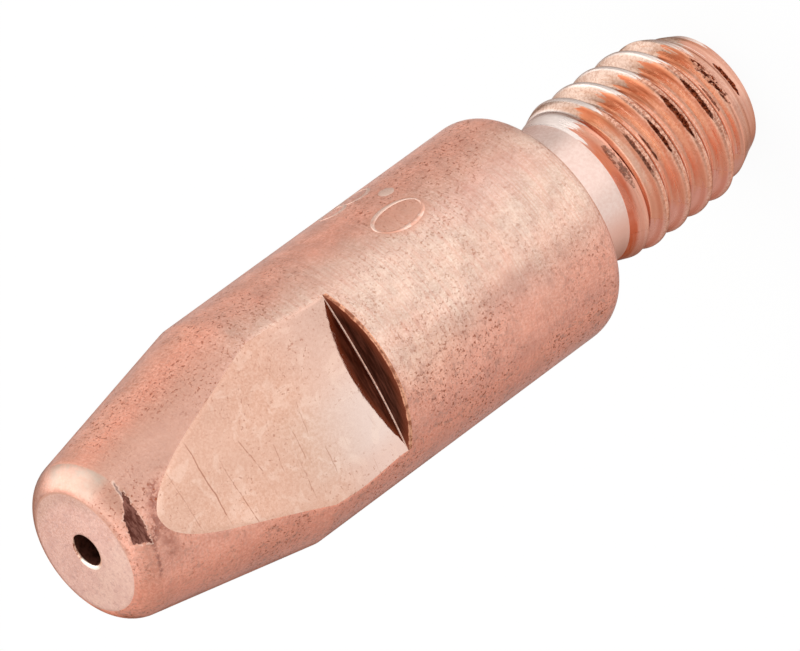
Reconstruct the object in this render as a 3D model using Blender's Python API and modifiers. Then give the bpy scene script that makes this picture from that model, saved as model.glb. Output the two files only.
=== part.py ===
"""Welding contact tip for a gas-shielded torch, in metres, +Z up.

One piece turned from copper bar. From the bottom up it has a screwed end, a
relieved neck, a round body with two milled wrench flats, and a nose that
tapers to a small flat face. The wire enters at the screwed end and leaves
through the bore in the nose face. The part stands on its screwed end, with
the origin at the centre of that end face and the flats facing +X and -X.
"""

import math

import bmesh
import bpy

MM = 0.001
NAME = "contact_tip"

# Body and nose
BODY_DIAMETER = 8.0 * MM
BODY_LENGTH = 20.0 * MM           # shoulder to nose face
SHOULDER_EDGE_RADIUS = 0.6 * MM
NOSE_TAPER_LENGTH = 6.94 * MM     # nose face to the full diameter
NOSE_FACE_DIAMETER = 3.43 * MM
NOSE_EDGE_RADIUS = 1.08 * MM

# Wrench flats
ACROSS_FLATS = 5.7 * MM
FLAT_LENGTH = 10.26 * MM          # nose face to the step, at mid width
STEP_ARC_RADIUS = 26.0 * MM       # radius of the side mill that cuts the flats

# Screwed end
SHANK_LENGTH = 8.0 * MM           # end face to shoulder
NECK_LENGTH = 2.0 * MM
NECK_DIAMETER = 5.0 * MM
NECK_CHAMFER_LENGTH = 0.8 * MM
THREAD_DIAMETER = 5.7 * MM        # over the worn crests of an M6 thread
THREAD_PITCH_DIAMETER = 5.35 * MM
THREAD_ROOT_DIAMETER = 4.77 * MM
THREAD_PITCH = 1.0 * MM
THREAD_FLANK_ANGLE = math.radians(30)
THREAD_PHASE = 0.435 * MM        # height of the groove at +X, within one pitch
THREAD_RUNOUT = 1.0 * MM          # the groove gets shallower over this height
END_CHAMFER_LENGTH = 1.5 * MM
END_FACE_DIAMETER = 4.37 * MM

# Wire bore
BORE_DIAMETER = 1.15 * MM
LEAD_IN_DIAMETER = 2.2 * MM
LEAD_IN_ANGLE = math.radians(30)  # from the axis to the countersink's wall

# Facets
SIDES = 96
GROOVE_SIDES = 60
ARC_STEPS = 6
CUT_CLEARANCE = 0.12 * MM         # how far a cutter reaches outside the metal
MERGE_DISTANCE = 0.000001

# Finish
COPPER_COLOUR = (0.80, 0.42, 0.29, 1.0)
COPPER_ROUGHNESS = 0.32


def remove_scene_objects():
    """Empty the scene that the script starts in."""
    for scene_object in list(bpy.data.objects):
        bpy.data.objects.remove(scene_object, do_unlink=True)


def new_collection(name):
    """Make a collection in the scene."""
    collection = bpy.data.collections.new(name)
    bpy.context.scene.collection.children.link(collection)
    return collection


def copper():
    """Bright copper alloy, the whole tip's only material."""
    material = bpy.data.materials.new("copper")
    material.use_nodes = True
    shader = material.node_tree.nodes["Principled BSDF"]
    shader.inputs["Base Color"].default_value = COPPER_COLOUR
    shader.inputs["Metallic"].default_value = 1.0
    shader.inputs["Roughness"].default_value = COPPER_ROUGHNESS
    return material


def arc(centre_radius, centre_height, radius, start, end):
    """Points of an arc in the radius and height plane, angles from outwards to up."""
    points = []
    for step in range(ARC_STEPS + 1):
        angle = start + (end - start) * step / ARC_STEPS
        across = centre_radius + radius * math.cos(angle)
        up = centre_height + radius * math.sin(angle)
        points.append((across, up))
    return points


def nose_outline():
    """Nose face, rounded edge and taper, down to the full diameter."""
    top = SHANK_LENGTH + BODY_LENGTH
    body_radius = BODY_DIAMETER / 2
    arc_radius = NOSE_FACE_DIAMETER / 2
    arc_height = top - NOSE_EDGE_RADIUS
    drop = arc_height - (top - NOSE_TAPER_LENGTH)
    widening = body_radius - arc_radius
    reach = math.hypot(drop, widening)
    taper_angle = math.atan2(widening, drop) - math.asin(NOSE_EDGE_RADIUS / reach)
    edge = arc(arc_radius, arc_height, NOSE_EDGE_RADIUS, math.pi / 2, taper_angle)
    return edge + [(body_radius, top - NOSE_TAPER_LENGTH)]


def shank_outline():
    """Shoulder, neck and screwed end, from the body's edge down to the end face."""
    body_radius = BODY_DIAMETER / 2
    edge_centre = body_radius - SHOULDER_EDGE_RADIUS
    edge_height = SHANK_LENGTH + SHOULDER_EDGE_RADIUS
    neck_bottom = SHANK_LENGTH - NECK_LENGTH
    outline = arc(edge_centre, edge_height, SHOULDER_EDGE_RADIUS, 0, -math.pi / 2)
    outline.append((NECK_DIAMETER / 2, SHANK_LENGTH))
    outline.append((NECK_DIAMETER / 2, neck_bottom))
    outline.append((THREAD_DIAMETER / 2, neck_bottom - NECK_CHAMFER_LENGTH))
    outline.append((THREAD_DIAMETER / 2, END_CHAMFER_LENGTH))
    outline.append((END_FACE_DIAMETER / 2, 0))
    return outline


def bore_outline():
    """Countersunk lead-in and bore, from the end face up to the nose face."""
    bore_radius = BORE_DIAMETER / 2
    lead_radius = LEAD_IN_DIAMETER / 2
    lead_depth = (lead_radius - bore_radius) / math.tan(LEAD_IN_ANGLE)
    return [
        (lead_radius, 0),
        (bore_radius, lead_depth),
        (bore_radius, SHANK_LENGTH + BODY_LENGTH),
    ]


def section_object(name, outline, collection):
    """An object that holds a closed outline in the XZ plane."""
    mesh = bpy.data.meshes.new(name)
    bm = bmesh.new()
    corners = [bm.verts.new((across, 0, up)) for across, up in outline]
    for index, corner in enumerate(corners):
        bm.edges.new((corners[index - 1], corner))
    bm.to_mesh(mesh)
    bm.free()
    section = bpy.data.objects.new(name, mesh)
    collection.objects.link(section)
    return section


def add_screw(section, steps, turns=1, rise=0.0):
    """Turn a section about Z, as a ring or as a right-hand helix."""
    screw = section.modifiers.new("turn", "SCREW")
    screw.axis = "Z"
    screw.angle = 2 * math.pi
    screw.iterations = turns
    screw.screw_offset = rise
    screw.steps = steps
    screw.render_steps = steps
    screw.use_merge_vertices = rise == 0.0
    screw.merge_threshold = MERGE_DISTANCE
    screw.use_smooth_shade = True


def add_cut(target, cutter):
    """Subtract a cutter from the target."""
    cut = target.modifiers.new(cutter.name, "BOOLEAN")
    cut.operation = "DIFFERENCE"
    cut.solver = "EXACT"
    cut.object = cutter


def mark_as_cutter(cutter):
    """Show a cutter as wire only."""
    cutter.hide_render = True
    cutter.display_type = "WIRE"


def evaluated_mesh(source):
    """The mesh that an object's modifiers make."""
    bpy.context.view_layer.update()
    depsgraph = bpy.context.evaluated_depsgraph_get()
    return bpy.data.meshes.new_from_object(source.evaluated_get(depsgraph))


def flat_cutter(name, facing, collection):
    """A block beside one flat, with its lower end rounded like the mill's track."""
    half_width = BODY_DIAMETER / 2 + CUT_CLEARANCE
    top = SHANK_LENGTH + BODY_LENGTH + CUT_CLEARANCE
    step_height = SHANK_LENGTH + BODY_LENGTH - FLAT_LENGTH
    arc_centre = step_height + STEP_ARC_RADIUS
    mesh = bpy.data.meshes.new(name)
    bm = bmesh.new()
    corners = [bm.verts.new((0, half_width, top)), bm.verts.new((0, -half_width, top))]
    for step in range(2 * ARC_STEPS + 1):
        across = -half_width + half_width * step / ARC_STEPS
        up = arc_centre - math.sqrt(STEP_ARC_RADIUS**2 - across**2)
        corners.append(bm.verts.new((0, across, up)))
    outline = bm.faces.new(corners)
    grown = bmesh.ops.extrude_face_region(bm, geom=[outline])
    moved = [item for item in grown["geom"] if isinstance(item, bmesh.types.BMVert)]
    depth = BODY_DIAMETER / 2 - ACROSS_FLATS / 2 + CUT_CLEARANCE
    bmesh.ops.translate(bm, verts=moved, vec=(facing * depth, 0, 0))
    bmesh.ops.recalc_face_normals(bm, faces=bm.faces)
    bm.to_mesh(mesh)
    bm.free()
    cutter = bpy.data.objects.new(name, mesh)
    cutter.location.x = facing * ACROSS_FLATS / 2
    collection.objects.link(cutter)
    mark_as_cutter(cutter)
    return cutter


def groove_section():
    """The thread groove's outline, with its middle height at the thread's phase."""
    root_radius = THREAD_ROOT_DIAMETER / 2
    outer_radius = THREAD_DIAMETER / 2 + CUT_CLEARANCE
    pitch_radius = THREAD_PITCH_DIAMETER / 2
    slope = math.tan(THREAD_FLANK_ANGLE)
    root_half = THREAD_PITCH / 4 - (pitch_radius - root_radius) * slope
    outer_half = THREAD_PITCH / 4 + (outer_radius - pitch_radius) * slope
    start = THREAD_PHASE - 2 * THREAD_PITCH
    return [
        (outer_radius, start + outer_half),
        (outer_radius, start - outer_half),
        (root_radius, start - root_half),
        (root_radius, start + root_half),
    ]


def groove_cutter(name, collection):
    """A right-hand helix of the groove's section that runs out at the neck."""
    neck_bottom = SHANK_LENGTH - NECK_LENGTH
    turns = math.ceil(neck_bottom / THREAD_PITCH) + 2
    path = section_object(name + "_path", groove_section(), collection)
    add_screw(path, GROOVE_SIDES, turns, THREAD_PITCH)
    mesh = evaluated_mesh(path)
    bpy.data.objects.remove(path, do_unlink=True)

    bm = bmesh.new()
    bm.from_mesh(mesh)
    rims = [edge for edge in bm.edges if edge.is_boundary]
    bmesh.ops.holes_fill(bm, edges=rims, sides=0)
    bmesh.ops.recalc_face_normals(bm, faces=bm.faces)
    lift = (THREAD_DIAMETER - THREAD_ROOT_DIAMETER) / 2
    for vert in bm.verts:
        rise = vert.co.z - (neck_bottom - THREAD_RUNOUT)
        if rise > 0:
            reach = vert.co.xy.length
            vert.co.xy *= (reach + lift * rise / THREAD_RUNOUT) / reach
    bm.to_mesh(mesh)
    bm.free()
    cutter = bpy.data.objects.new(name, mesh)
    collection.objects.link(cutter)
    mark_as_cutter(cutter)
    return cutter


def contact_tip(parts, cutters):
    """The finished tip: turned, milled and screw-cut."""
    section = nose_outline() + shank_outline() + bore_outline()
    tip = section_object(NAME, section, parts)
    add_screw(tip, SIDES)
    add_cut(tip, flat_cutter("flat_cutter_left", -1, cutters))
    add_cut(tip, flat_cutter("flat_cutter_right", 1, cutters))
    add_cut(tip, groove_cutter("groove_cutter", cutters))
    finished = evaluated_mesh(tip)
    finished.shade_smooth()
    finished.set_sharp_from_angle(angle=math.radians(25))
    tip.modifiers.clear()
    tip.data = finished
    tip.data.materials.append(copper())
    return tip


def main():
    remove_scene_objects()
    contact_tip(new_collection("welding_contact_tip"), new_collection("cutters"))


main()
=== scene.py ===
"""Looks of the welding contact tip: turned, milled and screw-cut copper in a soft white studio.

The tip is one fine mesh that replaces the CAD node. It is a grid of rings, from the bore over the
nose, body and neck to the screwed end and back into the bore. Lengths are in millimetres until a
mesh is made. Azimuths are counted from +X, which is the middle of a wrench flat.
"""

import math
from functools import cached_property, partial, reduce

import bpy
import numpy as np
from mathutils import Matrix, Vector


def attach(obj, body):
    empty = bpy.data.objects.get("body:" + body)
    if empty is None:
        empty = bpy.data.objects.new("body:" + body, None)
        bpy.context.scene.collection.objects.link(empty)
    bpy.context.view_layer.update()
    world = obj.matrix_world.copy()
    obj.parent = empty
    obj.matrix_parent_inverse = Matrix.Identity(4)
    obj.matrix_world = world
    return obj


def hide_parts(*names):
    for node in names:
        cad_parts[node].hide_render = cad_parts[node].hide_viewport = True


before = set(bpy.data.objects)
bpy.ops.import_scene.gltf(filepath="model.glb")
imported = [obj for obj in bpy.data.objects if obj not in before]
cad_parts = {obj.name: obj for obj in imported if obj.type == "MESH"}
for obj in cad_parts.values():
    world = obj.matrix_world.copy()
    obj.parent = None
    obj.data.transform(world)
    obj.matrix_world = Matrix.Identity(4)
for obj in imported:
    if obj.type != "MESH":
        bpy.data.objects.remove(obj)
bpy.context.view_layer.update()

MM = 0.001

# Turned shape, heights from the screwed end's face
NOSE_HEIGHT = 28.0
FACE_RADIUS = 1.715
FACE_CREASE_RADIUS = 2.1
NOSE_EDGE_RADIUS = 1.08
TAPER_HEIGHT = 21.06
BODY_RADIUS = 4.0
SHOULDER_HEIGHT = 8.0
SHOULDER_ROUND_ACROSS = 0.45
SHOULDER_ROUND_UP = 0.7
NECK_RADIUS = 2.5
NECK_BOTTOM = 6.22
NECK_CHAMFER = 1.02
CREST_RADIUS = 2.85
END_CHAMFER = 1.5
END_RADIUS = 2.185

# Bore
BORE_RADIUS = 0.555
BORE_RIM = 0.07
BORE_MOUTH_DEPTH = 1.0
HOLE_OFFSET = (0.235, 0.0)
BORE_SHIFT = (0.01, 0.055)
OFFSET_BOTTOM = 14.0
LEAD_IN_RADIUS = 1.1
LEAD_IN_DEPTH = 0.9

# Wrench flats
FLAT_HALF = 2.85
FLAT_EDGE_SOFTNESS = 0.045
STEP_HEIGHT = 17.74
STEP_ARC_RADIUS = 26.0
STEP_ROOT_ROUND = 0.03
STEP_EDGE_ROUND = 0.06
STEP_FADE = 0.35
STEP_ROW_DROP = 0.004
STEP_SHIFT_REACH = 1.5
STEP_GAP_ABOVE = 0.06
STEP_GAP_BELOW = 0.1

# Wander of the flats' two long edges: depth, height and reach of each hump
UPPER_EDGE_HUMPS = ((0.09, STEP_HEIGHT, 1.2), (-0.08, 21.0, 1.6), (-0.03, 24.6, 1.6))
LOWER_EDGE_HUMPS = ((0.07, 23.4, 1.9), (-0.15, 19.9, 1.3))

# Nick in the nose's edge: four straight sides as weight, height at +X, rise per degree of azimuth
NICK_SIDES = (
    (1.5, 27.264, -0.0045),
    (-1.1, 28.035, -0.0286),
    (-1.45, 27.738, -0.0076),
    (-0.405, 28.224, 0.11),
)
NICK_DEPTH = 0.07
NICK_BANK = 0.09

# Stamped wire size, each figure placed by its azimuth in degrees and its height
MARK_STROKE = 0.08
STROKE_WAVE = 0.4
MARK_RISE = 0.034
MARK_SINK = 0.02
ZERO_PLACE = (53.8, 13.70)
ZERO_HALF = (0.58, 0.95)
POINT_PLACE = (71.8, 12.93)
POINT_RADIUS = 0.33
EIGHT_AZIMUTH = 90.0
EIGHT_RINGS = ((13.27, 0.50, 0.52), (14.22, 0.42, 0.44))
RING_SIDES = 48
TUBE_SIDES = 8
DOT_ROWS = 7
DOT_COLUMNS = 16

# Thread
PITCH = 1.0
PITCH_RADIUS = 2.675
ROOT_RADIUS = 2.385
FLANK_SLOPE = math.tan(math.radians(30))
THREAD_PHASE = 0.435
THREAD_RUNOUT = 1.22
CREST_SOFTNESS = 0.07
CREST_LIFT = 0.004
ROOT_SOFTNESS = 0.05

# Grid
ROWS = {
    "bore": 8, "mouth": 6, "rim": 6, "face": 14, "nose edge": 26, "nose top": 3, "taper": 44, "body": 28,
    "step root": 5, "step": 8, "step edge": 6, "shaft": 46, "shoulder round": 14, "shoulder": 5, "neck": 8,
    "end": 5, "lead-in": 6,
}
FLAT_TIP_ANGLES = range(1, 13)
FLAT_COLUMNS = 64
SIDE_COLUMNS = 60
COLUMN_CROWDING = 0.6
ROWS_PER_PITCH = 20
THREAD_OVERLAP = 0.25
SMALLEST_RADIUS = 0.1
SMALLEST_FACING = 0.05
SMALLEST_EDGE_ANGLE = math.radians(0.7)
FACE_EDGE_ANGLE = math.radians(45)
FACE_BLEND_DEPTH = 0.55
SHARP_ANGLE = math.radians(50)
WELD_TOLERANCE = 1e-8

# Camera, as fitted to the photograph's outline
CAMERA_AZIMUTH = math.radians(12.6)
CAMERA_ELEVATION = math.radians(31.599)
CAMERA_ROLL = math.radians(-36.339)
NOSE_IN_CAMERA = (-9.597, 6.891, 343.497)
CAMERA_LENS = 510.387
SENSOR_WIDTH = 36.0
CLIP_RANGE = (0.01, 20.0)

# Light: soft round patches as azimuth, elevation, outer and inner angle in degrees, strength
WORLD_LEVEL = 0.68
WORLD_PATCHES = (
    (118.0, 27.0, 55.0, 18.0, 1.15),
    (178.0, 45.0, 50.0, 15.0, 0.45),
    (20.0, 0.0, 60.0, 10.0, 0.12),
    (0.0, 90.0, 48.0, 15.0, 0.72),
)
FLOOR_LEVEL = 1.0
FLOOR_PATCHES = (
    (33.0, 0.0, 48.0, 28.0, 0.50),
    (-24.0, 0.0, 36.0, 10.0, 0.17),
    (226.0, 0.0, 64.0, 12.0, -0.38),
    (122.0, 0.0, 48.0, 15.0, -0.33),
    (192.6, 0.0, 34.0, 6.0, -0.75),
)
FLOOR_HALF = 2000.0
FLOOR_DROP = 0.02
FLOOR_GREY = (0.85, 0.85, 0.85, 1.0)
FLOOR_SEEN_WHITE = 0.94
FLOOR_MIRRORED_WHITE = 0.9

# Finish of all copper
EDGE_TINT = (0.45, 0.32, 0.28, 1.0)
SHEEN_IOR = 2.1
SHEEN_ROUGHNESS = 0.22

# Body and nose: mottled tones are dark, middle and pale
HIGHLIGHT_BAND_TONES = ((0.705, 0.465, 0.345), (0.755, 0.515, 0.395), (0.84, 0.615, 0.495))
BROWN_TONES = ((0.75, 0.265, 0.158), (0.83, 0.31, 0.193), (0.94, 0.43, 0.30))
TURNING_TONE = (0.66, 0.27, 0.18)
GRIME_TONE = (0.60, 0.23, 0.14)
NOSE_TONE = (0.55, 0.29, 0.20)
STAIN_TONE = (0.50, 0.20, 0.125)
MARK_DIRT_TONE = (0.70, 0.29, 0.18)
PIT_TONE = (0.34, 0.11, 0.065)
# Painted highlight on the nose's rounded edge
CORNER_HIGHLIGHT_TONE = (0.54, 0.40, 0.31)
CREASE_TONE = (0.46, 0.19, 0.115)
BURR_TONE = (0.95, 0.66, 0.52)
SCRATCH_TONE = (0.20, 0.07, 0.05)
# Inside of the nick, painted dark as a dark reflection
NICK_DARK_REFLECTION_TONES = ((0.12, 0.035, 0.025), (0.30, 0.125, 0.095))

# Zones round the body in degrees: where each starts, is full, is full to and ends
# Middle of the painted highlight band on the body's front
HIGHLIGHT_BAND_AZIMUTH = 25.0
NOSE_ZONE = (8.0, 30.0, 48.0, 70.0)
STAINED_ZONE = (20.0, -20.0, -120.0, -175.0)
# zone of the painted highlight on the nose's rounded edge
CORNER_HIGHLIGHT_ZONE = (37.0, 47.0, 84.0, 104.0)

# Tints of the body and nose: zone, heights that it sets in over, tint. The first two are painted shade
# on the side turned from the light and painted light on the lit side.
BODY_TINTS = (
    # painted shade: the side turned from the light, redder
    ((-25.0, -48.0, -120.0, -175.0), None, (1.10, 0.98, 0.91)),
    # painted light: the lit side, paler
    ((62.0, 84.0, 120.0, 175.0), None, (1.04, 1.18, 1.22)),
    ((-45.5, -36.5, -36.5, -27.5), (21.5, 20.0), (0.86, 0.85, 0.86)),
    ((92.0, 110.0, 130.0, 175.0), (26.9, 27.2), (0.70, 0.68, 0.64)),
)

# Ovals on the body: azimuth and height of the middle, reach round and along
CLOUDS = (
    ((-12.0, 16.2, 18.0, 1.9), (1.04, 1.12, 1.12)),
    ((38.0, 11.0, 15.0, 3.2), (0.93, 0.84, 0.84)),
    ((-9.4, 12.1, 11.0, 2.1), (0.93, 0.89, 0.89)),
)
MARK_GAP = (47.5, 14.5, 6.5, 0.65)
ZERO_DIRT = (*ZERO_PLACE, 12.0, 1.1)

# Strokes on the nose: first and last azimuth, height at +X, rise per degree, half width
TAIL = (22.0, 40.0, 27.50, -0.0091, 0.095)
SCRATCH = (16.0, 39.0, 27.495, -0.0091, 0.06)

# Stains by the nick: stroke, noise that frays it, the noise's range and shares, strength, tone
BROAD_STAIN = (-27.0, 17.0, 26.72, -0.004, 0.45)
SMEAR = (-13.0, 26.0, 26.96, -0.031, 0.36)
DRIP = (-4.0, -37.0, 27.267, -0.0019, 0.11)
NOSE_STAINS = (
    (BROAD_STAIN, (5.0, 3.0, 0.7), (0.38, 0.58, 0.35, 1.0), 1.0, (0.46, 0.135, 0.07)),
    (SMEAR, (8.0, 3.0, 0.65), (0.44, 0.54, 0.15, 1.0), 0.95, (0.36, 0.09, 0.042)),
    (DRIP, (7.0, 3.0, 0.7), (0.35, 0.6, 0.0, 1.0), 0.8, (0.34, 0.09, 0.05)),
)

# Wrench flats
MILLED_TONES = ((0.625, 0.355, 0.255), (0.66, 0.39, 0.29), (0.715, 0.445, 0.34))
STEP_SIDE_TONE = (0.745, 0.54, 0.465)
BLOTCH_TONE = (0.82, 0.58, 0.47)
SCORE_TONE = (0.38, 0.16, 0.10)
FAR_FLAT_TINT = (1.4, 1.18, 1.05)
UPPER_EDGE_TINT = (0.90, 0.88, 0.88)
LOW_MIDDLE_TINT = (1.03, 1.12, 1.16)

# Mill's scores: first and last distance across, height at mid width, rise, half width, strength
SCORES = (
    (1.2, -1.2, 25.70, 0.055, 0.028, 0.55),
    (1.7, -1.55, 24.64, 0.0, 0.034, 0.95),
    (0.4, -2.1, 23.90, 0.08, 0.032, 0.90),
    (0.7, -0.75, 22.88, 0.20, 0.036, 0.80),
    (-0.1, -1.1, 21.98, -0.1, 0.030, 0.55),
    (-0.1, -1.2, 21.18, 0.0, 0.030, 0.60),
    (-1.0, -2.4, 21.30, -0.08, 0.030, 0.65),
    (0.6, -0.6, 20.60, -0.2, 0.030, 0.55),
    (-1.1, -2.1, 20.36, 0.0, 0.032, 0.60),
)

# Nose face, bore, rim, step, neck and mark
FACED_TONES = ((0.67, 0.35, 0.27), (0.72, 0.41, 0.33), (0.82, 0.53, 0.44))
FACE_NEAR_TONE = (0.76, 0.515, 0.41)
FACE_CLOUD_TONE = (0.58, 0.31, 0.26)
FACE_PIT_TONE = (0.46, 0.24, 0.21)
FACE_CREASE_TONE = (0.50, 0.24, 0.16)
FACE_DIM_TINT = (0.84, 0.83, 0.80)
# Inside of the bore, painted dark as shade, with wire dust
BORE_SHADE_TONES = ((0.10, 0.035, 0.022), (0.24, 0.09, 0.06))
RIM_TONES = ((0.80, 0.50, 0.38), (0.28, 0.10, 0.06))
# Painted highlight on one side of the bore's rim
RIM_HIGHLIGHT_TONE = (0.95, 0.80, 0.68)
RIM_HIGHLIGHT_AZIMUTH = -100.0
# Painted highlight on the fillet where the flat meets its step
ROOT_HIGHLIGHT_TONES = ((0.55, 0.30, 0.22), (0.75, 0.48, 0.38), (0.85, 0.6, 0.5))
# The step's wall, painted dark as a dark reflection, browner towards its outer edge
STEP_DARK_REFLECTION_TONES = ((0.060, 0.026, 0.019), (0.19, 0.080, 0.059))
STEP_OUTER_TONE = (0.34, 0.11, 0.062)
EDGE_TONES = ((0.38, 0.14, 0.08), (0.78, 0.38, 0.24))
# The neck, painted pale as a highlight, with painted light on top and painted shade below
NECK_HIGHLIGHT_TONES = ((0.72, 0.51, 0.43), (0.78, 0.57, 0.50), (0.82, 0.63, 0.56))
NECK_LOWER_SHADE_TONE = (0.80, 0.44, 0.34)
NECK_UPPER_LIGHT_TINT = (1.18, 1.18, 1.2)
# Painted highlight on the stamped strokes
MARK_HIGHLIGHT_TONES = ((0.84, 0.52, 0.40), (0.92, 0.62, 0.49), (0.98, 0.71, 0.59))
MARK_WORN_TONE = (0.80, 0.38, 0.26)

# Thread's tones, and its tints along the pitch
ORANGE_TONES = ((0.78, 0.385, 0.25), (0.84, 0.44, 0.30), (0.93, 0.55, 0.41))
THREAD_LOWER_TONE = (0.86, 0.355, 0.225)
THREAD_LAST_TONE = (0.66, 0.22, 0.11)
THREAD_UPPER_TONE = (0.66, 0.26, 0.135)
THREAD_PINK_TONE = (0.84, 0.37, 0.29)
FLANK_SHADE = (0.86, 0.73, 0.68)
FLANK_LIGHT = (1.03, 1.22, 1.30)
ROOT_SHADE = (0.84, 0.70, 0.66)
RUNOUT_LIGHT = (1.05, 1.12, 1.15)
CREST_RIM_LIGHT = (1.1, 1.4, 1.5)
TONGUE_SHADE = (0.74, 0.62, 0.56)
CREST_TONES = ((0.50, 0.205, 0.13), (0.78, 0.455, 0.335))
CREST_SIDE_LIGHT = (1.3, 1.45, 1.55)
CREST_LOWER_LIGHT = (1.12, 1.35, 1.5)
CREST_DIRT_TONE = (0.30, 0.10, 0.06)
CHAMFER_TONE = (0.72, 0.33, 0.24)
COLLAR_TONES = ((0.60, 0.135, 0.065), (0.68, 0.20, 0.10))
END_TONE = (0.62, 0.34, 0.26)
# Painted highlight on the thread's pale side
CREAM_HIGHLIGHT_TONES = ((0.40, 0.27, 0.21), (0.56, 0.43, 0.355))
CREAM_SLOPE_SHADE = (0.86, 0.76, 0.70)
CREAM_ROOT_LIGHT = (1.25, 1.22, 1.2)
CREAM_CREST_HIGHLIGHT_TONE = (0.95, 0.84, 0.78)
# Painted shade and soot of the thread's dark streaks
SHADE_AND_SOOT_TONES = ((0.05, 0.006, 0.002), (0.25, 0.055, 0.022))

# Dark streaks along the thread, painted shade with soot in it: height at +X, first and last azimuth in
# degrees, half width, share of gaps, strength
STREAKS = (
    (5.80, -10.0, 28.0, 0.12, 0.75, 0.72),
    (5.60, -6.0, 26.0, 0.045, 0.10, 1.0),
    (5.04, -12.0, 27.0, 0.055, 0.45, 0.85),
    (4.36, -6.0, 19.0, 0.035, 0.15, 0.90),
    (4.03, -4.0, 23.0, 0.05, 0.15, 1.0),
    (3.81, -4.0, 30.0, 0.08, 0.85, 0.45),
    (3.02, -5.0, 31.0, 0.07, 0.10, 1.0),
    (2.81, -6.0, 10.0, 0.06, 0.85, 0.45),
    (2.04, -5.0, 31.0, 0.06, 0.15, 1.0),
    (1.41, -5.0, 22.0, 0.05, 0.30, 0.85),
    (1.08, -4.0, 39.0, 0.12, 0.80, 1.0),
    (0.43, -4.0, 31.0, 0.075, 0.10, 1.0),
)


def smooth_min(a, b, softness):
    """The lower of two surfaces, with the edge between them rounded."""
    return 0.5 * (a + b - np.sqrt((a - b) ** 2 + softness**2))


def smooth_step(low, high, value):
    """0 below low, 1 above high, and an even slope between."""
    t = np.clip((value - low) / (high - low), 0.0, 1.0)
    return t * t * (3 - 2 * t)


class Outline:
    """The turned section as rows of radius and height, each with the kind of surface below it."""

    def __init__(self):
        self.rows = []

    def add(self, radius, height, kind, part=0.0):
        self.rows.append((radius, height, kind, part))

    def line(self, start, end, steps, kind):
        """Rows from start up to, but without, end."""
        for step in range(steps):
            t = step / steps
            self.add(start[0] + (end[0] - start[0]) * t, start[1] + (end[1] - start[1]) * t, kind)

    def arc(self, centre, across, up, start, end, steps, kind):
        """Rows along a quarter-round, angles from outwards to up."""
        for step in range(steps):
            angle = start + (end - start) * step / steps
            self.add(centre[0] + across * math.cos(angle), centre[1] + up * math.sin(angle), kind)


(
    BORE, RIM, FACE, NOSE, BODY, STEP_ROOT, STEP, STEP_EDGE, SHAFT, SHOULDER, NECK, THREAD, END, LEAD_IN,
) = range(14)
MATERIAL_OF = {
    BORE: "bore", RIM: "rim", FACE: "faced", NOSE: "turned", BODY: "turned", STEP_ROOT: "root", STEP: "step",
    STEP_EDGE: "edge", SHAFT: "turned", SHOULDER: "turned", NECK: "neck", THREAD: "thread", END: "thread",
    LEAD_IN: "bore",
}


def add_nose(out):
    """Bore, its rim, the nose face, the rounded edge and the taper, with rings where the flats begin."""
    edge_top = NOSE_HEIGHT - NOSE_EDGE_RADIUS
    drop = edge_top - TAPER_HEIGHT
    widening = BODY_RADIUS - FACE_RADIUS
    taper = math.atan2(widening, drop) - math.asin(NOSE_EDGE_RADIUS / math.hypot(drop, widening))
    top_radius = FACE_RADIUS + NOSE_EDGE_RADIUS * math.cos(taper)
    top_height = edge_top + NOSE_EDGE_RADIUS * math.sin(taper)
    slope = (BODY_RADIUS - top_radius) / (top_height - TAPER_HEIGHT)

    def on_taper(radius):
        return radius, top_height - (radius - top_radius) / slope

    mouth = NOSE_HEIGHT - BORE_MOUTH_DEPTH
    rim = (BORE_RADIUS + BORE_RIM, NOSE_HEIGHT - BORE_RIM)
    out.line((BORE_RADIUS, LEAD_IN_DEPTH), (BORE_RADIUS, mouth), ROWS["bore"], BORE)
    out.line((BORE_RADIUS, mouth), (BORE_RADIUS, rim[1]), ROWS["mouth"], BORE)
    out.arc(rim, BORE_RIM, BORE_RIM, math.pi, math.pi / 2, ROWS["rim"], RIM)
    crease = math.acos((FACE_CREASE_RADIUS - FACE_RADIUS) / NOSE_EDGE_RADIUS)
    crease_height = edge_top + NOSE_EDGE_RADIUS * math.sin(crease)
    out.line((rim[0], NOSE_HEIGHT), (FACE_CREASE_RADIUS, crease_height), ROWS["face"], FACE)
    centre = (FACE_RADIUS, edge_top)
    out.arc(centre, NOSE_EDGE_RADIUS, NOSE_EDGE_RADIUS, crease, taper, ROWS["nose edge"], NOSE)
    openings = [FLAT_HALF / math.cos(math.radians(angle)) for angle in FLAT_TIP_ANGLES]
    out.line(on_taper(top_radius), on_taper(openings[0]), ROWS["nose top"], NOSE)
    for inner, outer in zip(openings, openings[1:]):
        out.line(on_taper(inner), on_taper(outer), 1, NOSE)
    out.line(on_taper(openings[-1]), (BODY_RADIUS, TAPER_HEIGHT), ROWS["taper"], NOSE)


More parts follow.
